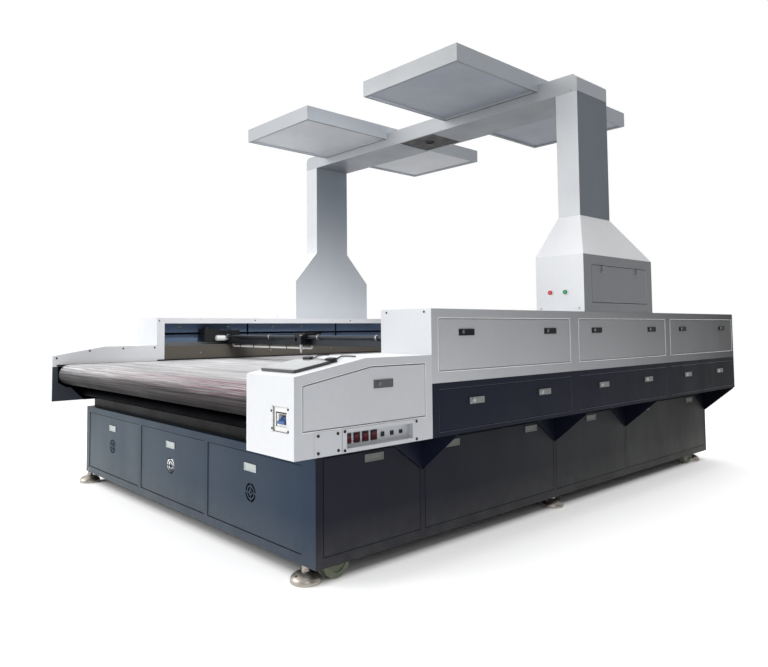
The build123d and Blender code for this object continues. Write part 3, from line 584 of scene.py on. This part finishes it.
# -------------------------------------------------- materials of the CAD nodes
ASSIGN = {
    "base_cabinet": base_mat, "corner_brackets": navy_mat, "levelling_feet": zinc,
    "housing_right": housing_right_mat, "housing_left": housing_left_mat,
    "console_arm_right": console_mat, "conveyor_arm_left": arm_left_mat,
    "camera_post_right": post_mat, "camera_post_left": post_mat, "canopy_beam": white,
    "light_hoods": white, "light_diffusers": opal, "camera_unit": camera_mat,
    "conveyor_bed": dark_mat, "conveyor_belt": felt, "gantry_rails": steel,
    "switch_tray": console_side, "breaker_block": white_pl, "laser_tube": glass, "control_unit": steel,
    "right_base_cover_1": night_mat, "right_base_cover_2": night_mat,
    "right_base_cover_3": night_mat, "right_base_cover_4": night_mat,
    "base_cover_pulls": pull_dull, "lower_covers": navy_mat, "lower_cover_locks": lock_silver,
    "caster_forks": steel_dark, "gantry_beam": alu_dark, "gantry_motor": black,
    "air_hose": hose_mat, "mirror_housing": white_pl, "head_carriage": steel_dark,
    "laser_nozzle": bright, "nose_roller": steel, "drive_roller": steel,
    "front_door_left": slate_mat, "front_door_centre": slate_mat, "front_door_right": slate_mat,
    "front_pull_left": pull_bright, "front_pull_centre": pull_bright, "front_pull_right": pull_bright,
    "upper_door_front": shaded_white_side, "upper_door_middle": shaded_white_side, "upper_door_rear": shaded_white_side,
    "upper_locks_front": lock_dark, "upper_locks_middle": lock_dark, "upper_locks_rear": lock_dark,
    "console_door": console_door_mat, "console_lid": lid_mat,
    "rocker_switch_1": rocker_mat, "rocker_switch_2": rocker_mat,
    "rocker_switch_3": rocker_mat, "rocker_switch_4": rocker_mat,
    "breaker_lever": blue_pl, "stop_button": red_pl, "run_button": green_pl, "post_door": post_door_mat,
    "caster_wheels_front": wheel_mat, "caster_wheels_rear": wheel_mat,
}
for name, material in ASSIGN.items():
    o = nodes[name] if isinstance(nodes, dict) and not isinstance(nodes[name], str) else bpy.data.objects[name]
    if not isinstance(o, bpy.types.Object):
        o = bpy.data.objects[name]
    if not o.material_slots:
        o.data.materials.append(material)
    for s in o.material_slots:
        s.material = material

# ------------------------------------------------------------- detail helpers


def finish_mesh(name, bm, material, body, smooth=False, bevel=0.0, segments=2):
    me = bpy.data.meshes.new(name)
    bmesh.ops.remove_doubles(bm, verts=bm.verts, dist=1e-7)
    bmesh.ops.recalc_face_normals(bm, faces=bm.faces)
    bm.to_mesh(me)
    bm.free()
    ob = bpy.data.objects.new(name, me)
    bpy.context.scene.collection.objects.link(ob)
    me.materials.append(material)
    if smooth:
        for p in me.polygons:
            p.use_smooth = True
        me.set_sharp_from_angle(angle=math.radians(35))
    if bevel:
        b = ob.modifiers.new("edge", "BEVEL")
        b.width = bevel
        b.segments = segments
        b.limit_method = "ANGLE"
    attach(ob, body)
    return ob


def add_box(bm, x0, x1, y0, y1, z0, z1, m=None):
    vs = bmesh.ops.create_cube(bm, size=1.0)["verts"]
    bmesh.ops.scale(bm, vec=(x1 - x0, y1 - y0, z1 - z0), verts=vs)
    bmesh.ops.translate(bm, vec=((x0 + x1) / 2, (y0 + y1) / 2, (z0 + z1) / 2), verts=vs)
    if m is not None:
        bmesh.ops.transform(bm, matrix=m, verts=vs)
    return vs


def add_lathe(bm, profile, origin, axis, n=24):
    """Revolve (radius, height) points round an axis through origin."""
    axis = Vector(axis).normalized()
    side = axis.orthogonal().normalized()
    other = axis.cross(side)
    o = Vector(origin)
    rings = []
    for r, h in profile:
        if r < 1e-6:
            rings.append([bm.verts.new(o + axis * h)])
        else:
            rings.append([bm.verts.new(o + axis * h + side * (r * math.cos(2 * math.pi * i / n))
                                       + other * (r * math.sin(2 * math.pi * i / n))) for i in range(n)])
    for a, b in zip(rings, rings[1:]):
        for i in range(n):
            j = (i + 1) % n
            if len(a) == 1 and len(b) == 1:
                continue
            if len(a) == 1:
                bm.faces.new((a[0], b[i], b[j]))
            elif len(b) == 1:
                bm.faces.new((a[i], b[0], a[j]))
            else:
                bm.faces.new((a[i], b[i], b[j], a[j]))


def add_screw(bm, at, axis, r=0.0045):
    """Pan head with a cross recess suggested by a stepped dimple."""
    h = r * 0.55
    add_lathe(bm, [(0, 0), (r, 0), (r, h * 0.35), (r * 0.86, h * 0.8), (r * 0.5, h), (r * 0.42, h * 0.98),
                   (r * 0.20, h * 0.45), (0, h * 0.4)], at, axis, 16)


def add_tube(bm, pts, r, n=12, closed=False):
    pts = [Vector(p) for p in pts]
    rings = []
    up = Vector((0.13, 0.27, 0.95)).normalized()
    k = len(pts)
    for i, p in enumerate(pts):
        if closed:
            d = (pts[(i + 1) % k] - pts[i - 1]).normalized()
        else:
            d = (pts[min(i + 1, k - 1)] - pts[max(i - 1, 0)]).normalized()
        s = d.cross(up).normalized()
        t = s.cross(d).normalized()
        rings.append([bm.verts.new(p + s * (r * math.cos(2 * math.pi * a / n)) + t * (r * math.sin(2 * math.pi * a / n)))
                      for a in range(n)])
    pairs = list(zip(rings, rings[1:])) + ([(rings[-1], rings[0])] if closed else [])
    for a, b in pairs:
        for i in range(n):
            j = (i + 1) % n
            bm.faces.new((a[i], a[j], b[j], b[i]))
    if not closed:
        bm.faces.new(list(reversed(rings[0])))
        bm.faces.new(rings[-1])


# ------------------------------------------------------------- door edge beads
def door_bead(name, body, y0, y1, z0, z1, x, r, material, gap=0.0035):
    """Rolled edge round a door opening."""
    bm = bmesh.new()
    y0, y1, z0, z1 = Y(y0) - gap, Y(y1) + gap, z0 / 1000 - gap, z1 / 1000 + gap
    add_tube(bm, [(x, y0, z0), (x, y1, z0)], r, 8)
    add_tube(bm, [(x, y0, z1), (x, y1, z1)], r, 8)
    add_tube(bm, [(x, y0, z0), (x, y0, z1)], r, 8)
    add_tube(bm, [(x, y1, z0), (x, y1, z1)], r, 8)
    return finish_mesh(name, bm, material, body, smooth=True)


# painted highlight: the edge beads are brighter than the panels they edge
edge_highlight_white = powder("edge_highlight_white", lambda m: (0.92, 0.92, 0.92), rough=0.3)
edge_highlight_navy = powder("edge_highlight_navy", lambda m: (0.032, 0.040, 0.075), rough=0.3)
for k, (y0, y1) in enumerate(((437, 1337), (1421, 2321), (2391, 3291))):
    door_bead("upper_door_bead_%d" % k, "machine", y0, y1, 729, 921, HX1 - 0.0005, 0.0016, edge_highlight_white, 0.0042)
    door_bead("lower_cover_bead_%d" % k, "machine", y0, y1, 506, 657, HX1 - 0.0008, 0.0012, edge_highlight_navy, 0.0030)

# rolled edge round the console's door, in a brighter white as a painted highlight
bm = bmesh.new()
ring = [(Y(p), z) for p, z in ((-196.5, 0.5680), (361.5, 0.5680), (361.5, 0.7615), (94.5, 0.7615), (-196.5, 0.7128))]
for i in range(5):
    (ya, za), (yb, zb) = ring[i], ring[(i + 1) % 5]
    add_tube(bm, [(HX1 - 0.0004, ya, za), (HX1 - 0.0004, yb, zb)], 0.0012, 8)
finish_mesh("console_door_bead", bm, edge_highlight_white, "machine", smooth=True)

# black wipers along both sides of the belt
bm = bmesh.new()
for s in (-1, 1):
    x0, x1 = sorted((s * HX0, s * (HX0 - 0.005)))
    add_box(bm, x0, x1, Y(398), Y(3315), 0.6908, 0.6990)
add_box(bm, -HX0 + 0.0018, -HX0 + 0.0050, Y(-205), Y(396), 0.6830, 0.6905)
finish_mesh("belt_wipers", bm, black, "machine")

# ------------------------------------------------------------- console details
bm = bmesh.new()
add_box(bm, HX1, HX1 + 0.0015, Y(-150), Y(-38), 0.489, 0.565)
finish_mesh("console_blank_plate", bm, console_side, "machine", bevel=0.0006)

bm = bmesh.new()
for y, z in ((-135, 0.553), (-55, 0.553), (-135, 0.499), (-53, 0.499)):
    add_screw(bm, (HX1 + 0.0015, Y(y), z), (1, 0, 0), 0.0052)
for y, z in ((-27, 0.556), (-27, 0.495), (308, 0.557), (308, 0.495)):
    add_screw(bm, (HX1 + 0.003, Y(y), z), (1, 0, 0), 0.0052)
for x, z in ((1.165, 0.630), (1.169, 0.575), (1.2555, 0.640), (1.2555, 0.572)):
    add_screw(bm, (x, Y(-227), z), (0, -1, 0), 0.0040)
for x in (1.05, 1.25):
    add_screw(bm, (x, Y(396), 0.948), (0, -1, 0), 0.0042)
finish_mesh("console_screws", bm, steel_dark, "machine", smooth=True)

# frame of the breaker window
bm = bmesh.new()
y = Y(-227)
for x0, x1, z0, z1 in ((1.167, 1.255, 0.6445, 0.6475), (1.167, 1.255, 0.5640, 0.5665),
                       (1.167, 1.1722, 0.5640, 0.6475), (1.2500, 1.255, 0.5640, 0.6475)):
    add_box(bm, x0, x1, y - 0.0, y + 0.002, z0, z1)
finish_mesh("breaker_frame", bm, white_pl, "machine", bevel=0.0005)

bm = bmesh.new()
y0, y1 = Y(-221.5), Y(-219.5)
for x0, x1, z0, z1 in ((1.1725, 1.1815, 0.5670, 0.6440), (1.2405, 1.2495, 0.5670, 0.6440),
                       (1.1815, 1.2405, 0.5670, 0.5825), (1.1815, 1.2405, 0.6285, 0.6440)):
    add_box(bm, x0, x1, y0, y1, z0, z1)
finish_mesh("breaker_surround", bm, white_pl, "machine", bevel=0.0005)

bm = bmesh.new()
add_box(bm, 1.184, 1.238, Y(-218.6), Y(-218), 0.6235, 0.6275)
for x in (1.197, 1.212, 1.228):
    add_lathe(bm, [(0, 0), (0.004, 0), (0.004, 0.001), (0.0026, 0.0012), (0.0022, 0.0002), (0, 0.0002)],
              (x, Y(-205), 0.636), (0, -1, 0), 16)
finish_mesh("breaker_terminals", bm, steel_dark, "machine", smooth=True)

# bezels of the rockers, and the sockets beside them
bm = bmesh.new()
tx = HX1 - 0.024
for yr in (8.5, 47.0, 85.5, 124.0):
    y, z = Y(yr), 0.5265
    for a, b, c, d in ((-14.5, 14.5, 14.6, 17.0), (-14.5, 14.5, -17.0, -14.6), (-14.5, -12.1, -14.6, 14.6), (12.1, 14.5, -14.6, 14.6)):
        add_box(bm, tx, tx + 0.0022, y + a / 1000, y + b / 1000, z + c / 1000, z + d / 1000)
finish_mesh("rocker_bezels", bm, black, "machine", bevel=0.0005)

bm = bmesh.new()
for ys, w, h in ((165, 0.0130, 0.0135), (210, 0.0120, 0.0125), (254, 0.0100, 0.0095)):
    y, z = Y(ys), 0.525
    t = 0.0012
    add_box(bm, tx, tx + 0.003, y - w / 2 - t, y + w / 2 + t, z + h / 2, z + h / 2 + t)
    add_box(bm, tx, tx + 0.003, y - w / 2 - t, y + w / 2 + t, z - h / 2 - t, z - h / 2)
    add_box(bm, tx, tx + 0.003, y - w / 2 - t, y - w / 2, z - h / 2, z + h / 2)
    add_box(bm, tx, tx + 0.003, y + w / 2, y + w / 2 + t, z - h / 2, z + h / 2)
    add_box(bm, tx - 0.012, tx + 0.0006, y - w / 2, y + w / 2, z - h / 2, z + h / 2)
    add_box(bm, tx + 0.0006, tx + 0.0016, y - w / 4, y + w / 4, z - h / 8, z + h / 8)
finish_mesh("console_sockets", bm, black, "machine", bevel=0.0004)

# bent stays behind the lid
bm = bmesh.new()


def on_slope(x, ymm, lift):
    y = Y(ymm)
    z = 0.741 + (y - Y(-227)) * math.tan(SLOPE) if ymm < 68 else 0.789
    return (x, y, z + lift)


for pts in (((1.090, -6), (1.062, 30), (1.043, 62), (1.050, 82), (1.064, 92)),
            ((1.214, -6), (1.186, 30), (1.166, 64), (1.190, 72), (1.233, 70))):
    add_tube(bm, [on_slope(x, ymm, 0.004) for x, ymm in pts], 0.0026, 10)
finish_mesh("lid_stays", bm, black, "machine", smooth=True)

# ------------------------------------------------------------ left arm details
bm = bmesh.new()
# inner cover that closes the left arm above the belt
xf = -HX0
prof = [(-224, 0.682), (396, 0.682), (396, 0.786), (69, 0.786), (-224, 0.7385)]
a = [bm.verts.new((xf, Y(p), z)) for p, z in prof]
b = [bm.verts.new((xf + 0.0016, Y(p), z)) for p, z in prof]
bm.faces.new(a)
bm.faces.new(list(reversed(b)))
for i in range(len(prof)):
    j = (i + 1) % len(prof)
    bm.faces.new((a[i], b[i], b[j], a[j]))
finish_mesh("left_arm_cover", bm, white_plain, "machine", bevel=0.0005)

bm = bmesh.new()
for ymm, z in ((-205, 0.728), (-20, 0.765), (180, 0.774), (380, 0.774)):
    add_screw(bm, (xf + 0.0016, Y(ymm), z), (1, 0, 0), 0.0055)
for ymm, z in ((410, 0.942), (1120, 0.945), (2000, 0.945), (2900, 0.945)):
    add_screw(bm, (xf, Y(ymm), z), (1, 0, 0), 0.0045)
finish_mesh("left_side_screws", bm, steel_dark, "machine", smooth=True)

# bearing housings at the ends of the rollers
bm = bmesh.new()
for s in (-1, 1):
    for ymm in (-140, 3255):
        x = s * 1.0160
        add_lathe(bm, [(0.0128, 0), (0.030, 0), (0.030, 0.0008), (0.026, 0.0016), (0.0128, 0.0016)], (x, Y(ymm), 0.635), (s, 0, 0), 24)
finish_mesh("bearing_flanges", bm, steel_dark, "machine", smooth=True)

# --------------------------------------------------------- channel interiors
bm = bmesh.new()
for s in (-1, 1):
    x = s * 1.150
    # stiffener seams and cable clips on the channel's back
    for ymm in (1141, 1960, 2700):
        add_box(bm, x - s * 0.0016, x, Y(ymm) - 0.006, Y(ymm) + 0.006, 0.790, 0.954)
    # toothed belt that drives the gantry, along the rail
    add_box(bm, s * 1.108, s * 1.111, Y(470), Y(3240), 0.852, 0.866)
finish_mesh("channel_seams", bm, dark_mat, "machine")

bm = bmesh.new()
for s in (-1, 1):
    for ymm in (620, 980, 1360, 1620, 2300, 2600, 2950):
        add_lathe(bm, [(0, 0.0), (0.010, 0.0), (0.010, 0.004), (0.0065, 0.006), (0.004, 0.016), (0, 0.017)],
                  (s * 1.150, Y(ymm), 0.905), (-s, 0, 0), 14)
        add_box(bm, s * 1.150 - s * 0.009, s * 1.150, Y(ymm) - 0.022, Y(ymm) + 0.002, 0.902, 0.907)
finish_mesh("channel_clips", bm, bright, "machine", smooth=True)

# clips on the olive guards
bm = bmesh.new()
for s in (-1, 1):
    for ymm in (700, 1250, 1800, 2350, 2900):
        add_lathe(bm, [(0, 0), (0.007, 0), (0.007, 0.0015), (0.004, 0.0022), (0, 0.0022)],
                  (s * HX0, Y(ymm), 0.735), (-s, 0, 0), 14)
finish_mesh("guard_screws", bm, steel, "machine", smooth=True)

# --------------------------------------------------------------- gantry details
bm = bmesh.new()
for x in (-0.86, -0.70, -0.52, -0.34):
    # saddle clips that hold the hose under the beam
    add_tube(bm, [(x, Y(903.5), 0.789), (x, Y(903.5), 0.774), (x, Y(907), 0.7675), (x, Y(912), 0.7655),
                  (x, Y(917), 0.7675), (x, Y(920.5), 0.774), (x, Y(920.5), 0.789)], 0.0028, 8)
    add_box(bm, x - 0.006, x + 0.006, Y(899), Y(925), 0.786, 0.789)
finish_mesh("hose_clips", bm, black, "gantry", smooth=True)

bm = bmesh.new()
for s in (-1, 1):
    # cap screws of the end trucks
    for ymm in (872, 900, 984, 1004):
        add_lathe(bm, [(0, 0), (0.005, 0), (0.005, 0.004), (0.003, 0.004), (0.0028, 0.002), (0, 0.002)],
                  (s * 1.090, Y(ymm), 0.880), (0, 0, 1), 12)
for x in (-0.975, -0.48, 0, 0.48, 0.975):
    add_lathe(bm, [(0.0101, -0.006), (0.0145, -0.006), (0.0155, -0.004), (0.0155, 0.004), (0.0145, 0.006), (0.0101, 0.006)],
              (x if abs(x) > 0.001 else 0.002, Y(880), 0.838), (1, 0, 0), 20)
finish_mesh("gantry_collars", bm, steel, "gantry", smooth=True)

bm = bmesh.new()
# cap on top of the gantry's motor
add_box(bm, -1.120, -1.050, Y(744), Y(850), 0.860, 0.8882)
finish_mesh("motor_end_bell", bm, metal("motor_cast", (0.10, 0.10, 0.11), 0.5), "gantry", bevel=0.002)

# --------------------------------------------------------------- posts, canopy
bm = bmesh.new()
for s in (-1, 1):
    for ymm in (1500, 2160):
        for x in (1.048, 1.258):
            add_screw(bm, (s * x, Y(1477) if ymm == 1500 else Y(2182), 0.978), (0, -1 if ymm == 1500 else 1, 0), 0.0045)
for x, ymm in ((-1.12, 1682), (-0.2, 1682), (0.22, 1682), (1.12, 1682)):
    add_screw(bm, (x, Y(ymm), 2.124), (0, -1, 0), 0.004)
finish_mesh("post_screws", bm, steel, "machine", smooth=True)

# rings round the two lamps
bm = bmesh.new()
for x in (1.103, 1.185):
    add_lathe(bm, [(0.0112, 0.0), (0.0165, 0.0), (0.0165, 0.0016), (0.0150, 0.0032), (0.0122, 0.0036), (0.0112, 0.0026)],
              (x, Y(1477), 1.057), (0, -1, 0), 28)
finish_mesh("button_rings", bm, white_pl, "machine", smooth=True)

# hasps of the post's door: body and lever
bm = bmesh.new()
for ymm in (1653, 2010):
    y = Y(ymm)
    x = 1.284 + 0.003
    add_box(bm, x, x + 0.0012, y - 0.016, y + 0.016, 1.154, 1.182)
    add_tube(bm, [(x + 0.003, y - 0.007, 1.181), (x + 0.004, y - 0.007, 1.1845), (x + 0.004, y + 0.007, 1.1845), (x + 0.003, y + 0.007, 1.181)], 0.0012, 8)
finish_mesh("post_hasps", bm, bright, "post_door", smooth=True)

# ------------------------------------------------------------------- the stage
bpy.ops.mesh.primitive_circle_add(vertices=96, radius=14.0, fill_type="NGON", location=(0, 0, -0.0005))
floor = bpy.context.object
floor.name = "studio_floor"
fm = Mat("studio_floor_mat")
reach = fm.math("SQRT", fm.math("ADD", fm.math("MULTIPLY", fm.sep.outputs["X"], fm.sep.outputs["X"]),
                                fm.math("MULTIPLY", fm.sep.outputs["Y"], fm.sep.outputs["Y"])))
fm.link(fm.remap(reach, 2.3, 6.5, 1.0, 0.0), fm.bsdf.inputs["Alpha"])
floor.data.materials.append(fm.done(fm.tint((0.90, 0.90, 0.90), fm.noise(0.6, 2.0), 0.99, 1.005), 0.9, spec=0.0,
                                    emission=fm.mix(fm.both(fm.between("X", -1.08, 1.08, 0.03), fm.between("Y", Y(20), Y(3290), 0.03)),
                                                    (1.0, 1.0, 1.0), (0.0, 0.0, 0.0)), strength=0.42))
floor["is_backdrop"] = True

scene = bpy.context.scene
world = bpy.data.worlds.new("studio_world")
scene.world = world
world.use_nodes = True
wt = world.node_tree
bg = wt.nodes["Background"]
wc = wt.nodes.new("ShaderNodeTexCoord")
dot = wt.nodes.new("ShaderNodeVectorMath")
dot.operation = "DOT_PRODUCT"
dot.inputs[1].default_value = Vector((-0.86, 0.10, 0.50)).normalized()
wt.links.new(wc.outputs["Generated"], dot.inputs[0])
mr = wt.nodes.new("ShaderNodeMapRange")
mr.inputs[1].default_value = -0.55
mr.inputs[2].default_value = 0.30
mr.inputs[3].default_value = 0.11
mr.inputs[4].default_value = 1.0
wt.links.new(dot.outputs["Value"], mr.inputs[0])
cc = wt.nodes.new("ShaderNodeCombineColor")
for i in range(3):
    wt.links.new(mr.outputs[0], cc.inputs[i])
wt.links.new(cc.outputs[0], bg.inputs["Color"])
bg.inputs["Strength"].default_value = 1.0


def area(name, loc, target, size, power, colour=(1, 1, 1), spread=180):
    light = bpy.data.lights.new(name, "AREA")
    light.shape = "RECTANGLE"
    light.size, light.size_y = size
    light.energy = power
    light.color = colour
    light.spread = math.radians(spread)
    ob = bpy.data.objects.new(name, light)
    scene.collection.objects.link(ob)
    ob.location = loc
    d = Vector(target) - Vector(loc)
    ob.rotation_euler = d.to_track_quat("-Z", "Y").to_euler()
    ob.visible_camera = False
    return ob


area("key_soft", (-3.6, -7.2, 3.9), (-0.2, -0.6, 0.8), (5.0, 4.0), 290)
area("top_soft", (-0.9, 0.0, 7.5), (-0.6, 0.0, 0.0), (4.0, 7.0), 235)
area("inner_fill", (0.85, -1.05, 1.75), (-1.25, 0.25, 0.85), (0.9, 0.7), 9, spread=95)
area("side_fill", (4.6, -3.4, 2.0), (1.3, -1.2, 0.8), (1.6, 1.6), 26)

# ------------------------------------------------------------------ the camera
yaw, pitch, roll = 0.8525, 0.0553, -0.0067
fwd = Vector((-math.sin(yaw) * math.cos(pitch), math.cos(yaw) * math.cos(pitch), math.sin(pitch)))
right = Vector((math.cos(yaw), math.sin(yaw), 0.0))
up = right.cross(fwd)
r2 = right * math.cos(roll) + up * math.sin(roll)
u2 = up * math.cos(roll) - right * math.sin(roll)
cam = bpy.data.cameras.new("photo_camera")
cam_ob = bpy.data.objects.new("photo_camera", cam)
scene.collection.objects.link(cam_ob)
rot = Matrix((r2, u2, -fwd)).transposed()
cam_ob.matrix_world = Matrix.Translation((2.9410, -2.9791, 0.8913)) @ rot.to_4x4()
cam.sensor_fit = "HORIZONTAL"
cam.sensor_width = 36.0
cam.lens = 31.218
cam.shift_x = 0.0410
cam.shift_y = -0.0558
cam.clip_end = 100.0
scene.camera = cam_ob
scene.view_settings.view_transform = "Standard"

{"cad": cad_bounds, "visual": plain(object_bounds())}
